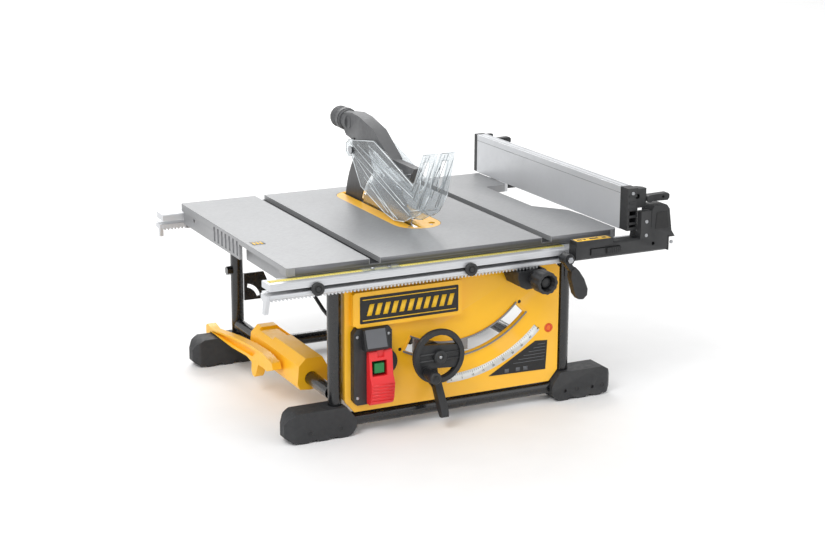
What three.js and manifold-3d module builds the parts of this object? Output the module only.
// Jobsite table saw: cast table on a tube stand, sliding fence rails with rack and pinion,
// tilting trunnion frame with a lifting motor carriage, riving knife and split clear guard.
// Millimetres, +X right, +Y towards the rear (outfeed), +Z up, standing on z = 0.
// Everything is laid out about the blade line (x = 0) and the table's mid depth (y = 0),
// then the whole saw is shifted so that its footprint is centred on the origin.
import * as THREE from "three";
import { mergeVertices } from "three/addons/utils/BufferGeometryUtils.js";
import Module from "manifold-3d";

const wasm = await Module();
wasm.setup();

// ---- driving dimensions ----------------------------------------------------------
// Pairs named _X, _Y or _Z are ranges; other pairs are centres in the plane noted.
const FOOTPRINT_CENTRE = [28, -21.5]; // x, y

const TABLE_TOP = 331, TABLE_THICK = 15, HALF_WIDTH = 333.5, HALF_DEPTH = 274;
const UNDERSIDE = TABLE_TOP - TABLE_THICK;
const RIB_TOP = UNDERSIDE + 1; // ribs run 1 mm into the table plate
const TILT_AXIS = [0, TABLE_TOP]; // x, z
const MITRE_SLOT_DEPTH = 9.5, MITRE_SLOTS_X = [[-177, -157], [170.8, 190.2]];
const THROAT_R = 46, THROAT_CENTRE_X = 15, THROAT_Y = [-71, 189], THROAT_THICK = 4;
const KERF_X = [-5.5, 9], KERF_Y = [-103, 226];

const TUBE_R = 12.7, TUBE_WALL = 1.6, TUBE_BEND_R = 30;
const LEFT_LEG = -229, RIGHT_LEG = 242, FRONT_LEG = -234, REAR_LEG = 249.5;
const BASE_TUBE_Z = 25, SIDE_TUBE_Z = 75, FOOT_HEIGHT = 57;
const PANEL_FRONT = -247, PANEL_THICK = 3, PANEL_BACK = PANEL_FRONT + PANEL_THICK;

const RAIL_X = [-375, 400], RAIL_Z = [286, 313];
const FRONT_RAIL_Y = [-300, -262], REAR_RAIL_Y = [263, 301];
const RAIL_SLOT_Z = [294, 301], RAIL_SLOT_END = 228;
const SLOT_MID = (RAIL_SLOT_Z[0] + RAIL_SLOT_Z[1]) / 2;
const RACK_PITCH = 7, PINION_TEETH = 14;
const PINION = [138, 267.6]; // x, z
const LOCK = [200, SLOT_MID]; // x, z

const WHEEL = [-51, 140.7], WHEEL_R = 50; // x, z
const CRANK = [WHEEL[0] - 27, WHEEL[1] - 26]; // x, z
const LIFT_SCREW = [WHEEL[0], -168]; // x, y
const FRONT_ROD = [-30, -141], REAR_ROD = [-30, 190]; // x, y
const ROD_R = 5, ROD_BORE_R = 5.5;

const BLADE_R = 125, BLADE_THICK = 2.6, BLADE_TEETH = 24;
const KNIFE_R = [131, 201], KNIFE_THICK = 2.2;
const ARBOR = [25, 283]; // y, z
const ARBOR_TEETH = 16, MOTOR_TEETH = 10, GEAR_CENTRES = 40;
const GEAR_PITCH = ((2 * GEAR_CENTRES) / (ARBOR_TEETH + MOTOR_TEETH)) * Math.PI;
const MOTOR_Y = 35, MOTOR_R = 47;
const MOTOR = [MOTOR_Y, ARBOR[1] - Math.sqrt(GEAR_CENTRES ** 2 - (MOTOR_Y - ARBOR[0]) ** 2)];
const SHIELD_PIN = [148, 434]; // y, z
const PIVOT_HALF_WIDTH = 10.5;
const PIN_RISE = 18; // rise of the left pin in its slot

// ---- materials -------------------------------------------------------------------
const GREY = { color: 0xb9bbbd, roughness: 0.45, metalness: 0.7 };
const YELLOW = { color: 0xf2b01c, roughness: 0.45, metalness: 0 };
const BLACK = { color: 0x1b1c1d, roughness: 0.45, metalness: 0.1 };
const PLASTIC = { color: 0x2b2c2d, roughness: 0.6, metalness: 0 };
const RUBBER = { color: 0x34353a, roughness: 0.8, metalness: 0 };
const ALUMINIUM = { color: 0xc9cbcd, roughness: 0.35, metalness: 0.8 };
const STEEL = { color: 0x8d9094, roughness: 0.35, metalness: 0.9 };
const KNIFE_STEEL = { color: 0x3c3d3f, roughness: 0.4, metalness: 0.8 };
const BLADE_STEEL = { color: 0xb5b8bb, roughness: 0.25, metalness: 0.95 };
const RED = { color: 0xd8282e, roughness: 0.4, metalness: 0 };
const GREEN = { color: 0x147a3c, roughness: 0.4, metalness: 0 };
const CLEAR = { color: 0xdfe7ea, roughness: 0.08, metalness: 0, transparent: true, opacity: 0.3 };

// ---- profiles --------------------------------------------------------------------
const PI = Math.PI;
const rad = (degrees) => (degrees * PI) / 180;

// Angles are in degrees, counted from the profile's first axis.
const polar = ([u, v], radius, degrees) => [
  u + radius * Math.cos(rad(degrees)),
  v + radius * Math.sin(rad(degrees)),
];
const arc = (centre, radius, start, end, steps) =>
  Array.from({ length: steps + 1 }, (_, i) =>
    polar(centre, radius, start + ((end - start) * i) / steps));
const circle = (centre, radius, steps) => arc(centre, radius, 0, 360, steps).slice(0, -1);
const sector = (centre, inner, outer, start, end, steps) => [
  ...arc(centre, outer, start, end, steps),
  ...arc(centre, inner, end, start, steps),
];
const throatOutline = (radius) => [
  ...arc([THROAT_CENTRE_X, THROAT_Y[1]], radius, 0, 180, 10),
  ...arc([THROAT_CENTRE_X, THROAT_Y[0]], radius, 180, 360, 10),
];
// Points given as [y or x, height above the table].
const aboveTable = (points) => points.map(([u, height]) => [u, TABLE_TOP + height]);
// The x range between two distances from the blade line; side is -1 left, 1 right.
const sideRange = (side, near, far) => (side < 0 ? [-far, -near] : [near, far]);

// Spur gear outline: straight-flanked teeth, thin enough to leave backlash; phase in radians.
function gearOutline({ centre: [u, v], teeth, pitch, phase, addendum, dedendum }) {
  const pitchRadius = (teeth * pitch) / (2 * PI);
  const halfTooth = (pitch * 0.36) / 2 / pitchRadius;
  const tip = halfTooth * 0.55;
  const root = halfTooth * 1.35;
  const inner = pitchRadius - dedendum;
  const outer = pitchRadius + addendum;
  const points = [];
  for (let i = 0; i < teeth; i++) {
    const middle = phase + (2 * PI * i) / teeth;
    for (const [offset, r] of [[-root, inner], [-tip, outer], [tip, outer], [root, inner]])
      points.push([u + r * Math.cos(middle + offset), v + r * Math.sin(middle + offset)]);
  }
  return points;
}

// ---- solids ----------------------------------------------------------------------
const { Vector2, Vector3 } = THREE;
const add = (first, ...rest) => rest.reduce((a, b) => a.add(b), first);
const cut = (first, ...rest) => rest.reduce((a, b) => a.subtract(b), first);

function solid(geometry) {
  geometry.deleteAttribute("normal");
  geometry.deleteAttribute("uv");
  const merged = mergeVertices(geometry, 1e-4);
  return new wasm.Manifold(
    new wasm.Mesh({
      numProp: 3,
      vertProperties: merged.attributes.position.array,
      triVerts: new Uint32Array(merged.index.array),
    }),
  );
}

function flatShape(outline, holes = []) {
  const vectors = (points) => points.map(([u, v]) => new Vector2(u, v));
  const shape = new THREE.Shape(vectors(outline));
  for (const hole of holes) shape.holes.push(new THREE.Path(vectors(hole)));
  return shape;
}

// A profile swept along an axis. Profiles and cylinder centres are
// (y, z) for axis X, (x, z) for axis Y and (x, y) for axis Z.
function prism(axis, outline, from, to, holes) {
  const shape = flatShape(outline, holes);
  const geometry = new THREE.ExtrudeGeometry(shape, { depth: to - from, bevelEnabled: false });
  const matrix = new THREE.Matrix4();
  const [X, Y, Z] = [new Vector3(1, 0, 0), new Vector3(0, 1, 0), new Vector3(0, 0, 1)];
  if (axis === "X") matrix.makeBasis(Y, Z, X).setPosition(from, 0, 0);
  else if (axis === "Y") matrix.makeBasis(X, Z, Y.negate()).setPosition(0, to, 0);
  else matrix.setPosition(0, 0, from);
  return solid(geometry.applyMatrix4(matrix));
}

function box(x0, x1, y0, y1, z0, z1) {
  const geometry = new THREE.BoxGeometry(x1 - x0, y1 - y0, z1 - z0);
  return solid(geometry.translate((x0 + x1) / 2, (y0 + y1) / 2, (z0 + z1) / 2));
}

// A cylinder, or a cone when the end radius differs.
function cyl(axis, [u, v], radius, from, to, segments, endRadius = radius) {
  const geometry = new THREE.CylinderGeometry(endRadius, radius, to - from, segments);
  const middle = (from + to) / 2;
  if (axis === "Z") geometry.rotateX(PI / 2).translate(u, v, middle);
  else if (axis === "X") geometry.rotateZ(-PI / 2).translate(middle, u, v);
  else geometry.translate(u, middle, v);
  return solid(geometry);
}

// A polyline path whose tangent at a corner bisects its two legs.
class Route extends THREE.Curve {
  constructor(points) {
    super();
    this.points = points;
  }
  getSpacedPoints() {
    return this.points;
  }
  getTangentAt(u) {
    const last = this.points.length - 1;
    const i = Math.round(u * last);
    const here = this.points[i];
    const tangent = new Vector3();
    if (i > 0) tangent.add(here.clone().sub(this.points[i - 1]).normalize());
    if (i < last) tangent.add(this.points[i + 1].clone().sub(here).normalize());
    return tangent.normalize();
  }
}

function roundCorners(corners, bendRadius, bendSteps) {
  const points = corners.map((corner) => new Vector3(...corner));
  const rounded = [points[0]];
  for (let i = 1; i < points.length - 1; i++) {
    const corner = points[i];
    const back = points[i - 1].clone().sub(corner).normalize();
    const ahead = points[i + 1].clone().sub(corner).normalize();
    const half = back.angleTo(ahead) / 2;
    const setback = bendRadius / Math.tan(half);
    const bisector = back.clone().add(ahead).normalize();
    const centre = corner.clone().addScaledVector(bisector, bendRadius / Math.sin(half));
    const start = corner.clone().addScaledVector(back, setback).sub(centre);
    const end = corner.clone().addScaledVector(ahead, setback).sub(centre);
    const axis = new Vector3().crossVectors(start, end).normalize();
    const sweep = start.angleTo(end);
    for (let j = 0; j <= bendSteps; j++) {
      const spoke = start.clone().applyAxisAngle(axis, (sweep * j) / bendSteps);
      rounded.push(centre.clone().add(spoke));
    }
  }
  return [...rounded, points[points.length - 1]];
}

// A circle swept along a polyline with rounded corners; hollow when a wall is given.
function pipe(corners, { bendRadius, bendSteps, radius, wall = 0, segments }) {
  const points = roundCorners(corners, bendRadius, bendSteps);
  const holes = wall ? [circle([0, 0], radius - wall, segments)] : [];
  const shape = flatShape(circle([0, 0], radius, segments), holes);
  const options = {
    steps: points.length - 1,
    extrudePath: new Route(points),
    bevelEnabled: false,
  };
  return solid(new THREE.ExtrudeGeometry(shape, options));
}

const saw = new THREE.Group();
saw.position.set(-FOOTPRINT_CENTRE[0], -FOOTPRINT_CENTRE[1], 0);

function part(name, material, build) {
  const { vertProperties, triVerts } = build().getMesh();
  const geometry = new THREE.BufferGeometry();
  const positions = new THREE.BufferAttribute(new Float32Array(vertProperties), 3);
  geometry.setAttribute("position", positions);
  geometry.setIndex(new THREE.BufferAttribute(new Uint32Array(triVerts), 1));
  const mesh = new THREE.Mesh(geometry, new THREE.MeshStandardMaterial(material));
  mesh.name = name;
  saw.add(mesh);
}

// ---- table -----------------------------------------------------------------------
// Arc plate under the table, concentric with the tilt axis, hung on two posts.
function trunnionArc(y0, y1) {
  const post = (side) => {
    const outline = [[82, RIB_TOP], [112, RIB_TOP], [102, 272], [86, 272]];
    return prism("Y", outline.map(([x, z]) => [side * x, z]), y0, y1);
  };
  const plate = prism("Y", sector(TILT_AXIS, 100, 118, -152, -28, 12), y0, y1);
  const slot = prism("Y", sector(TILT_AXIS, 105.4, 112.8, -116, -42, 8), y0 - 1, y1 + 1);
  return cut(add(plate, post(-1), post(1)), slot);
}

part("table_casting", GREY, () => {
  const W = HALF_WIDTH;
  const D = HALF_DEPTH;
  const outline = [ // x, y; the right edge steps in towards the rear
    [-W, -D + 3], [-W + 3, -D], ...arc([W - 10, -D + 10], 10, -90, 0, 4),
    [W, -151], [329, -103], [282, -44], ...arc([290, 140], 8, 180, 90, 3),
    ...arc([W - 10, 158], 10, -90, 0, 3), [W, D - 3], [W - 3, D], [-W + 3, D], [-W, D - 3],
  ];
  let table = prism("Z", outline, UNDERSIDE, TABLE_TOP);
  // left edge: thin front half over a channel, deep ribbed apron behind it
  table = cut(table, box(-W - 1, -W + 14, -240, -46, UNDERSIDE - 1, TABLE_TOP - 10));
  table = add(
    table,
    box(-W + 0.5, -W + 5, -46, 258, 292, RIB_TOP),
    box(-W + 14, -W + 19, -240, -46, 291, TABLE_TOP - 9),
  );
  table = cut(table, prism("X", circle([200, 311], 4, 8), -W - 1, -W + 8));
  for (let y = -40; y < 96; y += 20)
    table = cut(table, box(-W - 1, -W + 2.2, y, y + 9, 297, TABLE_TOP - 6));

  const legColumns = (radius, z0, z1) =>
    [LEFT_LEG, RIGHT_LEG].flatMap((x) =>
      [FRONT_LEG, REAR_LEG].map((y) => cyl("Z", [x, y], radius, z0, z1, 12)));
  table = add(
    table,
    // front, rear and right skirts
    box(-W + 14, 318, -255, -250, 285, RIB_TOP),
    box(-W + 3, 325, 252, 257, 285, RIB_TOP),
    box(272, 277, -251, 253, 296, RIB_TOP),
    ...legColumns(TUBE_R + 5, 296, RIB_TOP), // leg sockets
    trunnionArc(-229.5, -223),
    trunnionArc(239, 245),
  );

  const mitreSlots = MITRE_SLOTS_X.map(([x0, x1]) =>
    box(x0, x1, -D - 1, D + 1, TABLE_TOP - MITRE_SLOT_DEPTH, TABLE_TOP + 1));
  const throatSeat = TABLE_TOP - THROAT_THICK - 0.4;
  return cut(
    table,
    ...legColumns(TUBE_R + 1, 280, UNDERSIDE),
    // room for the rails
    box(-W - 2, W + 2, 258, 303, 280, 315.4),
    box(-W - 2, W + 2, -303, -256, 280, 315.4),
    ...mitreSlots,
    prism("Z", throatOutline(THROAT_R + 0.5), throatSeat, TABLE_TOP + 1),
    prism("Z", throatOutline(THROAT_R - 6), TABLE_TOP - 30, TABLE_TOP),
    // front and rear holes for the lock shaft
    cyl("Y", LOCK, 4.2, -256, -249, 10),
    cyl("Y", LOCK, 4.2, 251, 258, 10),
  );
});

part("throat_plate", YELLOW, () =>
  cut(
    prism("Z", throatOutline(THROAT_R), TABLE_TOP - THROAT_THICK, TABLE_TOP),
    box(...KERF_X, ...KERF_Y, TABLE_TOP - 8, TABLE_TOP + 2),
    cyl("Z", [THROAT_CENTRE_X + 26, THROAT_Y[0] - 12], 6.5, TABLE_TOP - 8, TABLE_TOP + 1, 12),
  ));

// clear cursor over the front rail
part("scale_cursor", CLEAR, () =>
  add(
    box(-196, -124, -292, -275, 313.6, 315.6),
    cyl("Z", [-176, -284], 2.6, 315, 317, 8),
    cyl("Z", [-144, -284], 2.6, 315, 317, 8),
  ));

// ---- stand -----------------------------------------------------------------------
// U-shaped tube across the saw at a given y, its two ends pointing up.
function endFrame(y, top, radius, wall) {
  const corners = [
    [LEFT_LEG, y, top], [LEFT_LEG, y, BASE_TUBE_Z], [RIGHT_LEG, y, BASE_TUBE_Z], [RIGHT_LEG, y, top],
  ];
  return pipe(corners, { bendRadius: TUBE_BEND_R, bendSteps: 3, radius, wall, segments: 12 });
}
const FRAME_TOP = UNDERSIDE - 0.5;

part("front_frame", BLACK, () => endFrame(FRONT_LEG, FRAME_TOP, TUBE_R, TUBE_WALL));
part("rear_frame", BLACK, () =>
  add(
    endFrame(REAR_LEG, FRAME_TOP, TUBE_R, TUBE_WALL),
    cyl("X", [REAR_LEG, 189], 9, LEFT_LEG - 22, LEFT_LEG - 11.6, 6), // hexagonal boss
  ));

for (const [side, x] of [["left", LEFT_LEG], ["right", RIGHT_LEG]])
  part(`${side}_side_tube`, BLACK, () => {
    const start = FRONT_LEG + TUBE_R + 0.4;
    const end = REAR_LEG - TUBE_R - 0.4;
    const corners = [[x, start, SIDE_TUBE_Z], [x, 0, SIDE_TUBE_Z], [x, end, SIDE_TUBE_Z]];
    // the corners are in line, so the bend shrinks to a point
    const bend = { bendRadius: 1000, bendSteps: 1 };
    return pipe(corners, { ...bend, radius: TUBE_R, wall: TUBE_WALL, segments: 16 });
  });

// Moulded foot closed around a bent corner of an end frame; side is -1 left, 1 right.
function foot(leg, y, side, outerEnd, innerEnd) {
  const outer = (distance) => outerEnd - side * distance;
  const inner = (distance) => innerEnd + side * distance;
  const profile = [ // x, z
    [outer(0), 12], [outer(0), 36], [outer(7), 48], [outer(22), FOOT_HEIGHT],
    [leg - side * 14, FOOT_HEIGHT], [inner(2), 34], [inner(0), 30], [inner(0), 17],
    [inner(8), 5], [inner(18), 0], [inner(34), 0], [inner(41), 4], [inner(50), 4],
    [inner(57), 0], [inner(73), 0], [inner(80), 4], [inner(88), 4], [inner(95), 0],
    [outer(28), 0], [outer(22), 3.5], [outer(12), 3.5],
  ];
  const plan = [ // x, y
    [outer(0), y - 10], [outer(10), y - 21], [outer(18), y - 24], [innerEnd, y - 24],
    [innerEnd, y + 24], [outer(18), y + 24], [outer(10), y + 21], [outer(0), y + 10],
  ];
  const [hole0, hole1] = y < 0 ? [y - 24, y - 20] : [y + 20, y + 24];
  return cut(
    prism("Y", profile, y - 23, y + 23).intersect(prism("Z", plan, -1, 70)),
    endFrame(y, 200, TUBE_R + 0.4),
    ...[45, 105].map((distance) => cyl("Y", [outer(distance), 19], 3.5, hole0, hole1, 8)),
  );
}
for (const [end, y] of [["front", FRONT_LEG], ["rear", REAR_LEG]]) {
  part(`foot_${end}_left`, RUBBER, () => foot(LEFT_LEG, y, -1, -331, -195));
  part(`foot_${end}_right`, RUBBER, () => foot(RIGHT_LEG, y, 1, 345, 211));
}

// Moulded face with side flanges, raised hollow block and a concentric bevel slot.
part("front_panel", YELLOW, () => {
  const y0 = PANEL_FRONT;
  const face = [ // x, z
    [-214, 62], [-196, 41], [208, 41], [226, 62], [226, 262], [218, 270], [-214, 270],
  ];
  const block = [ // x, z
    [-198, 205], [-194, 201], [11, 201], [15, 205], [15, 262], [11, 266], [-198, 266],
    [-202, 262], [-202, 205],
  ];
  const shell = add(
    prism("Y", face, y0, PANEL_BACK),
    box(-214, -211, y0, y0 + 22, 64, 270),
    box(223, 226, y0, y0 + 22, 64, 262),
    box(-214, 218, y0, y0 + 8, 267, 270),
    prism("Y", block, y0 - 11, y0 + 1),
  );
  const hollow = box(-192, 5, y0 - 7, PANEL_BACK + 1, 208, 260);
  return cut(
    add(
      cut(shell, hollow),
      prism("Y", sector(TILT_AXIS, 181, 214, -118, -43, 18), y0 - 1.5, y0 + 8), // slot rim
    ),
    prism("Y", sector(TILT_AXIS, 184, 211, -117, -44, 18), y0 - 9, y0 + 12),
    cyl("Y", PINION, 7, y0 - 2, y0 + 12, 10),
    cyl("Y", [-105, 147], 3.6, y0 - 8, PANEL_BACK + 1, 8),
    cyl("Y", [141, 206], 3.6, y0 - 8, PANEL_BACK + 1, 8),
  );
});

// ---- motor switch ----------------------------------------------------------------
part("switch_housing", PLASTIC, () => {
  const back = PANEL_FRONT - 0.4;
  const body = [ // x, z
    [-203, 66], [-197, 58], [-133, 58], [-128, 66], [-128, 192], [-134, 200], [-197, 200],
    [-203, 192],
  ];
  const ear = [[-140, 110], ...arc([-140, 131], 25, -50, 50, 6), [-140, 152]]; // x, z
  const hood = [[-261, 200], [-268, 198], [-279, 166], [-276, 161.5], [-261, 161.5]]; // y, z
  return cut(
    add(
      prism("Y", body, -262, back),
      prism("Y", ear, -258, back),
      prism("X", hood, -187, -142),
    ),
    box(-172, -147, -263, -256, 116, 140), // start button recess
  );
});

part("stop_paddle", RED, () => {
  const profile = [ // y, z
    [-263, 60], [-276, 60], [-283, 70], [-287, 100], [-279, 114], [-276, 142], [-275, 153],
    [-273.5, 157.5], [-271, 159.8], [-267, 159.8], [-264.2, 157], [-263, 150],
  ];
  return cut(
    prism("X", profile, -179, -133),
    box(-174, -145, -300, -262, 114, 142),
    box(-162.5, -149.5, -290, -271, 148, 170),
  );
});

part("start_button", GREEN, () =>
  add(box(-169, -150, -276, -262.5, 119, 137), box(-166, -153, -263, -260, 122, 134)));

// ---- storage at the left of the stand --------------------------------------------
part("storage_bracket", YELLOW, () => {
  const profile = [ // x, z
    [-257, 66], [-252, 55], [-233, 53], [-206, 56], [-197, 66], [-197, 96], [-207, 114],
    [-240, 114], [-254, 100],
  ];
  const topNotch = [[-247, 109], [-209, 109], [-206, 102], [-206, 212], [-260, 212]]; // x, z
  const lowNotch = [[-243, 60], [-228, 50], [-215, 60], [-219, 70], [-239, 70]]; // x, z
  return cut(
    prism("Y", profile, -130, 112),
    prism("Y", topNotch, 20, 90),
    cyl("Y", [LEFT_LEG, SIDE_TUBE_Z], TUBE_R + 0.4, -131, 113, 16),
    prism("Y", lowNotch, -100, -20),
  );
});

// Long push stick with a hooked end, on the bracket's outer side.
part("push_stick", YELLOW, () => {
  const outline = [ // y, z
    [299, 66], [290, 71], [262, 66], [150, 83], [60, 93], [-12, 96], [-60, 90], [-66, 78],
    [-34, 66], [-14, 68], [10, 66], [22, 44], [30, 36], [40, 36], [46, 46], [44, 62],
    [70, 66], [150, 60], [275, 59], [277, 44], [284, 37], [296, 41], [299, 52],
  ];
  const recess = [ // y, z
    [262, 62.5], [150, 78], [60, 87], [20, 88], [40, 74], [150, 66], [262, 61],
  ];
  return cut(prism("X", outline, -280, -262), prism("X", recess, -281, -272));
});

// Plate with an arc slot, on the rear left leg.
part("rear_storage_plate", BLACK, () => {
  const outline = [[-214, 123], [-158, 123], [-158, 146], [-172, 179], [-214, 179]]; // x, z
  const slot = sector([-214, 123], 27, 35, 12, 78, 6);
  return cut(
    prism("Y", outline, REAR_LEG - 2, REAR_LEG + 3),
    prism("Y", slot, REAR_LEG - 6, REAR_LEG + 6),
  );
});

part("power_cord", BLACK, () => {
  const corners = [ // x, y, z
    [-196, 200, 262], [-196, 120, 215], [-196, -40, 225], [-200, -120, 200],
    [-205, -190, 190], [-208, -200, 60],
  ];
  return pipe(corners, { bendRadius: 18, bendSteps: 3, radius: 3.6, segments: 8 });
});

// ---- rails -----------------------------------------------------------------------
// One piece each: slotted bar, rack teeth on the underside, stop tang at the left end.
function rail([y0, y1], tang) {
  const [z0, z1] = RAIL_Z;
  const toothTip = 281.2;
  const section = [ // y, z
    [y0, z0 + 1.5], [y0 + 1.5, z0], [y1 - 1.5, z0], [y1, z0 + 1.5],
    [y1, z1 - 1.5], [y1 - 1.5, z1], [y0 + 1.5, z1], [y0, z1 - 1.5],
  ];
  const bar = cut(
    prism("X", section, ...RAIL_X),
    box(RAIL_X[0] - 1, RAIL_SLOT_END, y0 - 1, y1 + 1, ...RAIL_SLOT_Z),
  );
  // teeth centred half a pitch either side of the pinion's top tooth
  const rack = [[PINION[0] + 14 - 0.01, z0 + 2]];
  for (let x = PINION[0] + RACK_PITCH * 1.5; x > RAIL_X[0] + 4; x -= RACK_PITCH)
    rack.push([x + 2.15, z0], [x + 0.75, toothTip], [x - 0.75, toothTip], [x - 2.15, z0]);
  rack.push([rack[rack.length - 1][0], z0 + 2]);
  return add(
    bar,
    prism("Y", rack, y0 + 4, y1 - 4),
    prism("X", tang, RAIL_X[0] - 6, RAIL_X[0] + 1),
  );
}
const FRONT_TANG = [ // y, z
  [-298, 293.6], [-272, 293.6], [-272, 284], [-282, 280], [-277, 258], [-288, 258], [-298, 284],
];
const REAR_TANG = [ // y, z
  [265, 293.6], [291, 293.6], [291, 286], [276, 284], [274, 270], [266, 270], [265, 284],
];
part("front_rail", ALUMINIUM, () => rail(FRONT_RAIL_Y, FRONT_TANG));
part("rear_rail", ALUMINIUM, () => rail(REAR_RAIL_Y, REAR_TANG));

// bearings: flange outside the rail, pin through its slot, block on the table side
for (const [name, x] of [["rail_bearing_left", -289], ["rail_bearing_middle", 8]])
  part(name, BLACK, () =>
    add(
      cyl("Y", [x, SLOT_MID], 11.5, -307, -300.6, 14),
      cyl("Y", [x, SLOT_MID], 2.7, -301, -261, 8),
      box(x - 12, x + 12, -261.6, -255.4, 288, 312),
      cyl("Y", [x, SLOT_MID], 5, -309, -306.5, 6),
    ));
part("rear_rail_bearing", BLACK, () =>
  add(
    cyl("Y", [-289, SLOT_MID], 11.5, 301.6, 307, 14),
    cyl("Y", [-289, SLOT_MID], 2.7, 262, 302, 8),
    box(-301, -277, 257.4, 262.6, 288, 312),
  ));

// rail lock: shaft from front to rear under the table, hub and paddle lever in front
part("rail_lock_shaft", STEEL, () =>
  add(cyl("Y", LOCK, 2.9, -304, 305, 8), cyl("Y", LOCK, 11, 301.8, 307, 12)));

part("rail_lock_lever", PLASTIC, () => {
  const neck = [[192, 296], [206, 290], [216, 276], [207, 272], [197, 284]]; // x, z
  const paddle = [ // x, z
    [206, 276], [214, 282], [222, 274], [233, 258], [241, 238], [240, 226], [232, 219],
    [222, 220], [214, 230], [205, 262],
  ];
  return add(
    cyl("Y", LOCK, 11, -325, -304.4, 14),
    cyl("Y", LOCK, 7, -329, -324, 10),
    prism("Y", neck, -322, -308),
    prism("Y", paddle, -324, -309),
  );
});

// both rack pinions on one cross shaft, one tooth of each straight up
part("pinion_shaft", STEEL, () => {
  const gear = gearOutline({
    centre: PINION, teeth: PINION_TEETH, pitch: RACK_PITCH, phase: PI / 2,
    addendum: 1.9, dedendum: 2.6,
  });
  return add(
    cyl("Y", PINION, 5, -345, 300, 12),
    ...[FRONT_RAIL_Y, REAR_RAIL_Y].map(([y0, y1]) => prism("Y", gear, y0 + 5, y1 - 5)),
  );
});

function pinionHousing(y0, y1, cavity0, cavity1) {
  const outline = [ // x, z
    [104, 266], [104, 280.6], [162, 280.6], [164, 262], [158, 248], [122, 246], [110, 252],
  ];
  return cut(
    prism("Y", outline, y0, y1),
    box(119, 157, cavity0, cavity1, 248.6, 290),
    cyl("Y", PINION, 5.5, y0 - 1, y1 + 1, 12),
  );
}
part("pinion_housing_front", PLASTIC, () => pinionHousing(-306, -252, -301, -262));
part("pinion_housing_rear", PLASTIC, () => pinionHousing(252, 306, 263, 301));

part("fence_adjust_knob", PLASTIC, () =>
  cut(
    add(cyl("Y", PINION, 21, -355, -322, 12), cyl("Y", PINION, 14, -323, -306.6, 12)),
    cyl("Y", PINION, 14.5, -356, -335, 16),
    cyl("Y", PINION, 5.35, -346, -300, 12),
    cyl("Y", PINION, 6, -356, -344, 12),
  ));

// ---- rail carriers and fence -----------------------------------------------------
part("front_rail_carrier", PLASTIC, () => {
  const face = [ // y, z
    [-325, 297], [-325, 319], [-322, 322], [-301, 322], [-300.6, 318], [-300.6, 293],
    [-320, 293],
  ];
  const leftTop = [[214, -325], [292, -325], [296, -320], [296, -301], [214, -301]]; // x, y
  const endBlock = [ // x, y
    [414, -326], [437, -290], [437, -262], [401, -262], [401, -301], [412, -302],
  ];
  const rightTop = [[380, -310], [437, -290], [437, -262], [380, -262]]; // x, y
  const tower = [ // x, z
    [350, 318], [428, 318], [420, 330], [414, 372], [408, 380], [380, 380], [375, 372],
    [374.5, 340], [352, 333],
  ];
  const body = add(
    prism("X", face, 213, 414),
    prism("Z", leftTop, 319, 329),
    prism("Z", endBlock, 293, 322),
    prism("Z", rightTop, 313.6, 330),
    box(412, 414.6, -325.5, -300, 293, 322),
    prism("Y", tower, -325, -290),
    box(352, 374, -325, -311, 318, 372),
  );
  return add(
    cut(
      body,
      cyl("Y", [380, 309], 3.5, -327, -318, 8),
      box(243, 307, -327, -320.5, 301, 314),
    ),
    // stepped grip in the face recess
    box(244, 306, -328, -320, 302, 313),
    box(276, 306, -332, -327, 302, 313),
  );
});

part("rear_rail_carrier", PLASTIC, () => {
  const endBlock = [ // x, y
    [380, 301.6], [414, 312], [437, 300], [437, 263], [401, 263], [401, 301.4],
  ];
  const top = [[380, 263], [437, 263], [437, 300], [414, 312], [380, 301.6]]; // x, y
  const tower = [ // x, z
    [360, 326], [428, 326], [414, 372], [408, 380], [380, 380], [375, 372], [374.5, 340],
    [360, 333],
  ];
  return add(
    prism("Z", endBlock, 293, 322),
    prism("Z", top, 313.6, 330),
    prism("Y", tower, 290, 312),
  );
});

// hollow two-cell extrusion with black fittings at both ends
const FENCE_LEFT = 331, FENCE_RIGHT = 353, FENCE_TOP = 414;
part("fence_profile", ALUMINIUM, () => {
  const rectangle = (x0, x1, z0, z1) => [[x0, z0], [x1, z0], [x1, z1], [x0, z1]];
  const cell = (z0, z1) => rectangle(FENCE_LEFT + 2.5, FENCE_RIGHT - 2.5, z0, z1);
  const outline = rectangle(FENCE_LEFT, FENCE_RIGHT, 333, FENCE_TOP);
  return prism("Y", outline, -283.6, 276, [cell(336, 372), cell(375, FENCE_TOP - 3)]);
});

part("fence_front_bracket", PLASTIC, () => {
  const lug = [[352, -310], [371.4, -309], [371.4, -296], [364, -286], [352, -284]]; // x, y
  return cut(
    add(box(FENCE_LEFT, 352.6, -310, -284, 334, FENCE_TOP), prism("Z", lug, 376, 412)),
    box(335, 349, -311, -290, 340, 372),
    cyl("Y", [352, 398], 5, -311, -296, 8),
  );
});

part("fence_rear_cap", PLASTIC, () =>
  add(
    box(FENCE_LEFT, FENCE_RIGHT, 276.4, 289, 334, FENCE_TOP),
    box(352, 371.4, 279, 289, 386, 412),
  ));

// latches above the carrier towers
for (const [name, y0, y1] of [["front_fence_latch", -312, -296], ["rear_fence_latch", 290, 306]])
  part(name, PLASTIC, () => {
    const lever = [[379, 386], [418, 385], [422, 389], [422, 396], [418, 399], [379, 398]]; // x, z
    return cut(
      add(cyl("Y", [379, 391], 7, y0, y1, 12), prism("Y", lever, y0 + 1, y1 - 1)),
      cyl("Y", [408, 392], 3, y0 - 1, y1 + 1, 8),
    );
  });

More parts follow.
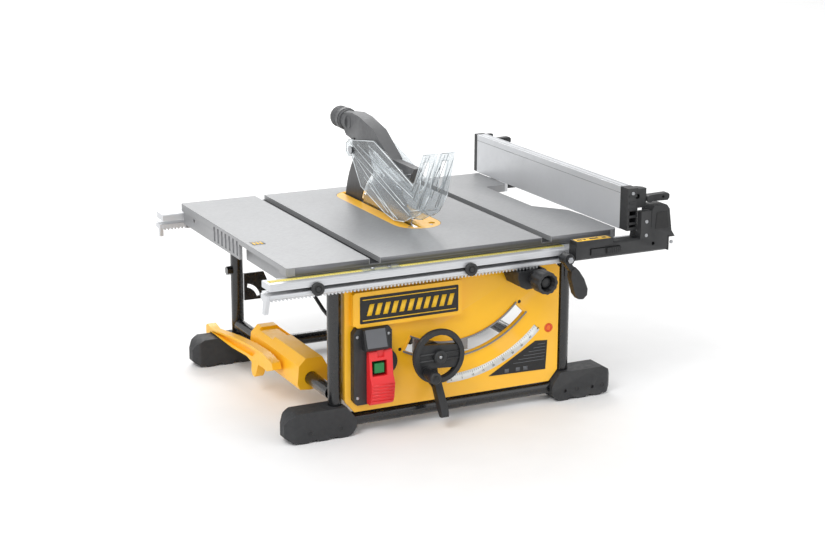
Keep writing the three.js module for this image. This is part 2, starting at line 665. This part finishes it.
// ---- tilting frame ---------------------------------------------------------------
part("tilt_frame", GREY, () => {
  const plate = [[-72, 300], [-22, 300], [18, 283], [38, 266], [38, 126], [-72, 126]]; // x, z
  // guide studs that ride in the trunnion arcs
  const studs = [-110, -93].flatMap((angle) => {
    const centre = polar(TILT_AXIS, 109, angle);
    return [cyl("Y", centre, 2.8, -231, -221, 8), cyl("Y", centre, 2.8, 237, 247, 8)];
  });
  const rodBores = [FRONT_ROD, REAR_ROD].flatMap((rod) => [
    cyl("Z", rod, ROD_BORE_R, 127, 141, 12),
    cyl("Z", rod, ROD_BORE_R, 289, 301, 12),
  ]);
  const frame = add(
    prism("Y", plate, -238, -230.4),
    prism("Y", plate, 230.4, 237.4),
    // long bars between the end plates
    box(-70, -58, -231, 231, 292.5, 300),
    box(28, 38, -231, 231, 128, 140),
    // upper and lower guide rod seats
    box(-70, -22, -178, -130, 290, 300),
    box(-70, -22, 178, 202, 290, 300),
    box(-40, 38, -152, -130, 128, 140),
    box(-40, -20, 178, 231, 128, 140),
    box(-64, -40, -231, -156, 165, 175), // lower screw bearing
    ...studs,
    cyl("Y", WHEEL, 12, -268, -237, 16), // shaft sleeve through the bevel slot
  );
  return cut(
    frame,
    cyl("Y", WHEEL, 6.6, -270, -228, 12),
    ...rodBores,
    cyl("Z", LIFT_SCREW, 5.5, 289, 301, 12),
    cyl("Z", LIFT_SCREW, 5.5, 164, 176, 12),
  );
});

part("guide_rod_front", STEEL, () => cyl("Z", FRONT_ROD, ROD_R, 127, 300, 12));
part("guide_rod_rear", STEEL, () => cyl("Z", REAR_ROD, ROD_R, 127, 300, 12));

// Pointer on the sleeve, reaching out along a radius of the tilt axis.
part("bevel_pointer", RED, () => {
  const [cos, sin] = polar([0, 0], 1, -105);
  const outline = [[206, -9], [206, 9], [236, 7], [243, 0], [236, -7]].map( // radial, sideways
    ([r, w]) => [cos * r - sin * w, TABLE_TOP + sin * r + cos * w]);
  return cut(
    add(cyl("Y", WHEEL, 16, -251.6, -249.6, 16), prism("Y", outline, -251.6, -249.6)),
    cyl("Y", WHEEL, 12.4, -255, -248, 16),
  );
});

// Hub on the sleeve, arm hanging behind the wheel, grip forward at the bottom.
part("bevel_lock_lever", PLASTIC, () => {
  const arm = [[-60, 134], [-42, 128], [-34, 78], [-46, 70], [-54, 82]]; // x, z
  const grip = [ // y, z
    [-257, 82], [-267, 92], [-290, 56], [-303, 36], [-303, 25], [-294, 24], [-281, 40],
  ];
  return cut(
    add(
      cyl("Y", WHEEL, 19, -268, -256, 16),
      prism("Y", arm, -267, -257),
      prism("X", grip, -48, -33),
    ),
    cyl("Y", WHEEL, 12.4, -270, -250, 16),
  );
});

// Hand wheel with two windows, on the shaft that turns the lift screw.
part("handwheel", PLASTIC, () => {
  const window = (start, end) => prism("Y", arc(WHEEL, 40, start, end, 8), -302, -286);
  const disc = cut(
    cyl("Y", WHEEL, WHEEL_R, -300, -289, 28),
    cyl("Y", WHEEL, 41, -302, -297, 24),
    window(28, 142),
    window(-152, -38),
  );
  const wheel = add(
    disc,
    cyl("Y", WHEEL, 13, -304, -286, 14),
    cyl("Y", CRANK, 11, -300, -289.5, 12),
    cyl("Y", WHEEL, 5.8, -287, -179, 12),
    cyl("Y", WHEEL, 11.2, -180, -174.5, 12, 5.7), // mitre gear cone
  );
  return cut(wheel, cyl("Y", CRANK, 3.4, -302, -290.5, 10));
});

part("crank_knob", PLASTIC, () =>
  add(
    cyl("Y", CRANK, 9, -306, -300.6, 12, 8),
    cyl("Y", CRANK, 11, -340, -305, 12, 8.5),
    cyl("Y", CRANK, 3, -301, -291.5, 8),
  ));

// Screw with its mitre gear cone and hexagonal collars.
part("lift_screw", STEEL, () => {
  let screw = add(
    cyl("Z", LIFT_SCREW, 5, 152, 300, 12),
    cyl("Z", LIFT_SCREW, 5.7, 147.2, 152.7, 12, 11.2),
  );
  for (let z = 184; z < 286; z += 24)
    screw = add(screw, cyl("Z", LIFT_SCREW, 6.1, z, z + 10, 6));
  return screw;
});

// ---- lifting carriage ------------------------------------------------------------
// Gearcase plate around both gear centres, with arms to the guide rods and the screw nut.
part("lift_carriage", GREY, () => {
  const plate = [ // y, z
    [0, 224], [-9, 262], [-7, 300], [4, 313], [46, 313], [58, 300], [64, 262], [66, 236],
    [50, 220], [20, 220],
  ];
  return cut(
    add(
      prism("X", plate, -40, -17),
      box(-40, -19, -154, 2, 240, 262),
      box(-40, -19, 60, 204, 240, 262),
      box(-64, -38, -182, -150, 254, 276),
      box(-40, -19, -154, -128, 254, 276),
      box(-20, -1.6, 166, 176, 240, 262), // knife clamp face
    ),
    add(cyl("X", ARBOR, 28.6, -37, -16, 18), cyl("X", MOTOR, 20, -37, -16, 16)), // gear cavity
    cyl("X", MOTOR, 8, -45, -30, 14),
    cyl("Z", FRONT_ROD, ROD_BORE_R, 230, 280, 12),
    cyl("Z", REAR_ROD, ROD_BORE_R, 230, 280, 12),
    cyl("Z", LIFT_SCREW, 6.6, 250, 280, 12),
  );
});

// Can open at the gear end and vented at the far (left) end.
part("motor_housing", PLASTIC, () =>
  cut(
    cyl("X", MOTOR, MOTOR_R, -186, -40.4, 24),
    cyl("X", MOTOR, MOTOR_R - 4, -182, -40, 24),
    cyl("X", MOTOR, 9, -190, -180, 12),
    ...circle(MOTOR, 27, 6).map((_, i) =>
      cyl("X", polar(MOTOR, 27, 60 * i + 30), 7, -190, -180, 6)),
  ));

// Lower half housing around the blade, with a sloping dust outlet.
part("blade_shroud", BLACK, () => {
  const outlet = (radius, from, to) => {
    const tube = new THREE.CylinderGeometry(radius, radius, to - from, 16);
    tube.translate(0, (from + to) / 2, 0).rotateX(rad(-45));
    return solid(tube).translate([0, ...ARBOR]);
  };
  const outer = arc(ARBOR, 134, 177, 363, 24);
  // points near the rim are raised so that the cavity is open at the top
  const cavity = arc(ARBOR, 130.5, 176, 364, 24).map(([y, z]) => [y, z > 285 ? 300 : z]);
  return cut(
    add(prism("X", outer, -16, 16), outlet(15.5, 120, 168)),
    prism("X", cavity, -12.6, 12.6),
    outlet(12.4, 100, 172),
    cyl("X", ARBOR, 30, -17, 17, 18),
  );
});

// Arc behind the blade, concentric with the arbor.
part("riving_knife", KNIFE_STEEL, () =>
  cut(
    prism("X", sector(ARBOR, ...KNIFE_R, -16, 60, 14), -KNIFE_THICK / 2, KNIFE_THICK / 2),
    box(-3, 3, 150, 164.5, 200, 292),
  ));

// Bar over the blade, dust duct and round hose port.
part("guard_arm", PLASTIC, () => {
  const port = [0, TABLE_TOP + 153]; // x, z
  const slab = (points, halfWidth) => prism("X", aboveTable(points), -halfWidth, halfWidth);
  // outlines: y, height above the table
  const bar = [[-107, 112], [-82, 80], [-30, 93], [30, 106], [30, 118], [-13, 113]];
  const duct = [
    [-13, 113], [-13, 98], [14, 108], [95, 128], [160, 122], [189, 126], [200, 136],
    [200, 170], [160, 175], [122, 172], [58, 157],
  ];
  const ductBore = [
    [-4, 108], [14, 113], [96, 133], [160, 128], [186, 132], [202, 140], [202, 165],
    [160, 170], [122, 167], [60, 151],
  ];
  const dustMouth = [[30, 90], [80, 100], [80, 145], [50, 135]];
  const knifeSocket = [[128, 118], [176, 118], [176, 131], [128, 136]];
  const pivotBlock = [[134, 92], [162, 92], [166, 124], [130, 124]];
  const knifeSlot = sector(ARBOR, KNIFE_R[0] - 0.6, KNIFE_R[1] + 0.6, 20, 60.4, 10);
  const [pinY, pinZ] = SHIELD_PIN;

  const hollow = cut(
    add(
      slab(bar, 8),
      slab(duct, 13.5),
      cyl("Y", port, 19, 184, 206, 18),
      cyl("Y", port, 21, 205, 250, 18),
      cyl("Y", port, 22.5, 212, 222, 18),
    ),
    cyl("Y", port, 17.5, 200, 252, 18),
    slab(ductBore, 10.5),
    slab(dustMouth, 9),
  );
  return cut(
    add(hollow, slab(knifeSocket, 8), slab(pivotBlock, PIVOT_HALF_WIDTH)),
    prism("X", knifeSlot, -1.5, 1.5),
    // right pin: round hole; left pin: upright slot that lets the shield rise with the bevel
    cyl("X", SHIELD_PIN, 3.4, 7.5, 14, 10),
    box(-14, -7.5, pinY - 3.6, pinY + 3.6, pinZ - 3.6, pinZ + PIN_RISE + 6),
  );
});

part("saw_blade", BLADE_STEEL, () => {
  const tooth = [[0, 0], [2.2, 1.5], [3.6, 9], [8.5, 7], [14.2, 3]]; // degrees, depth below tip
  const outline = [];
  for (let i = 0; i < BLADE_TEETH; i++)
    for (const [turn, depth] of tooth)
      outline.push(polar(ARBOR, BLADE_R - depth, (360 / BLADE_TEETH) * i + turn));
  return cut(
    prism("X", outline, -BLADE_THICK / 2, BLADE_THICK / 2),
    cyl("X", ARBOR, 8.3, -3, 3, 16),
  );
});

const driveGear = (centre, teeth, phase) =>
  gearOutline({ centre, teeth, phase, pitch: GEAR_PITCH, addendum: 2.4, dedendum: 3.3 });

part("arbor_shaft", STEEL, () =>
  add(
    cyl("X", ARBOR, 7.9, -36, 12, 16),
    cyl("X", ARBOR, 22, -6, -1.65, 20),
    prism("X", driveGear(ARBOR, ARBOR_TEETH, 0), -34, -24),
  ));

// stays within the shroud's wall gap
part("arbor_nut", STEEL, () =>
  cut(
    add(cyl("X", ARBOR, 22, 1.65, 4.6, 20), cyl("X", ARBOR, 12.5, 4.5, 11.5, 6)),
    cyl("X", ARBOR, 8.3, 0, 14, 16),
  ));

part("motor_armature", STEEL, () => {
  // phase the pinion so that the teeth mesh along the line of centres
  const toArbor = Math.atan2(ARBOR[1] - MOTOR[1], ARBOR[0] - MOTOR[0]);
  const arborStep = (2 * PI) / ARBOR_TEETH;
  const pastTooth = (((toArbor + PI) % arborStep) + arborStep) % arborStep;
  const phase = toArbor + PI / MOTOR_TEETH + (pastTooth * ARBOR_TEETH) / MOTOR_TEETH;
  return add(
    cyl("X", MOTOR, 6, -184, -22, 14),
    cyl("X", MOTOR, 32, -160, -80, 18),
    cyl("X", MOTOR, 38, -66, -56, 16),
    prism("X", driveGear(MOTOR, MOTOR_TEETH, phase), -35, -23),
  );
});

// ---- side shields ----------------------------------------------------------------
function shield(side, boreRadius) {
  const outline = [ // y, height above the table
    [176, 95], [163, 88], [150, 92], [107, 38], [-1, 7], [-45, 1.5], [-88, 9], [-117, 23],
    [-132, 27], [-157, 40], [-189, 79], [-217, 162], [-165, 150], [-125, 84], [-32, 114],
    [47, 138], [140, 124], [163, 122], [176, 112],
  ];
  const window = [[-170, 92], [-150, 76], [-158, 118], [-168, 138], [-192, 142]];
  // stiffening ribs on the outer face: rear y, height, front y, height
  const ribs = [[120, 80, -40, 24], [110, 98, -60, 48], [90, 116, -90, 66]];
  const slab = (points, near, far) =>
    prism("X", aboveTable(points), ...sideRange(side, near, far));
  return cut(
    add(
      cut(slab(outline, 15, 19), slab(window, 14, 20)),
      ...ribs.map(([y0, z0, y1, z1]) =>
        slab([[y0, z0], [y0 + 3, z0 - 5], [y1 + 2, z1 - 5], [y1, z1]], 18.6, 21)),
    ),
    cyl("X", SHIELD_PIN, boreRadius, -30, 30, 14),
  );
}
part("left_shield", CLEAR, () => shield(-1, 6.6)); // wider bore, for the bush
part("right_shield", CLEAR, () => shield(1, 3.5));

for (const [name, side] of [["left", -1], ["right", 1]])
  part(`${name}_shield_pin`, STEEL, () =>
    add(
      cyl("X", SHIELD_PIN, 3, ...sideRange(side, 8, 22), 12),
      cyl("X", SHIELD_PIN, 8.5, ...sideRange(side, 21.8, 24), 12),
    ));

part("left_shield_bush", PLASTIC, () =>
  cut(
    cyl("X", SHIELD_PIN, 6.2, -21.4, -14.2, 14),
    cyl("X", SHIELD_PIN, 3.4, -22.4, -13.2, 14),
  ));

export default saw;
